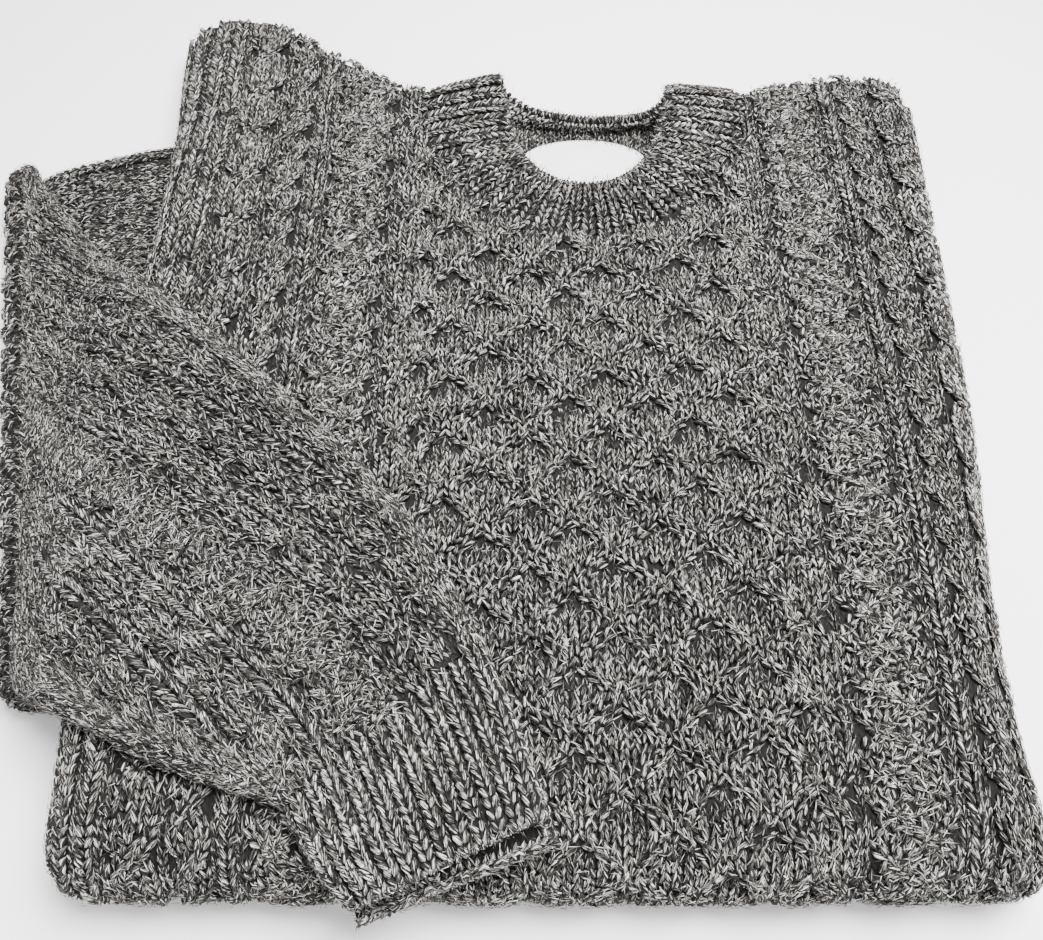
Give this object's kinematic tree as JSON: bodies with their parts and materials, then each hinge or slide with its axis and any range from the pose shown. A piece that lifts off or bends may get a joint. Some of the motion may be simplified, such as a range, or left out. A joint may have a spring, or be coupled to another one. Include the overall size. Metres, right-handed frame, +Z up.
{
  "type": "folded fisherman sweater",
  "caption": "Chunky cable-knit crew-neck sweater folded flat on a surface, its body turned under at the front, one sleeve laid across it, with ribbed neck and cuff open.",
  "frame": {"origin": "centre of the whole sweater's outline, on the surface it rests on", "axes": "+X towards the viewer's right across the front, +Y from the front fold towards the shoulders, +Z up"},
  "size_m": [0.6652, 0.6626, 0.0982],
  "materials": {
    "front_wool": "soft marled wool, cable knit",
    "back_wool": "soft marled wool",
    "neckband_wool": "soft marled wool, ribbed",
    "sleeve_wool": "soft marled wool, cable knit",
    "cuff_wool": "soft marled wool, ribbed",
    "label_cloth": "plain woven cloth",
    "hidden_wool": "soft marled wool"
  },
  "bodies": {
    "root": {"front_panel": "front_wool", "back_panel": "back_wool", "neckband": "neckband_wool", "sleeve_right": "sleeve_wool", "cuff_right": "cuff_wool", "neck_label": "label_cloth", "folded_layers": "hidden_wool"}
  },
  "joints": []
}
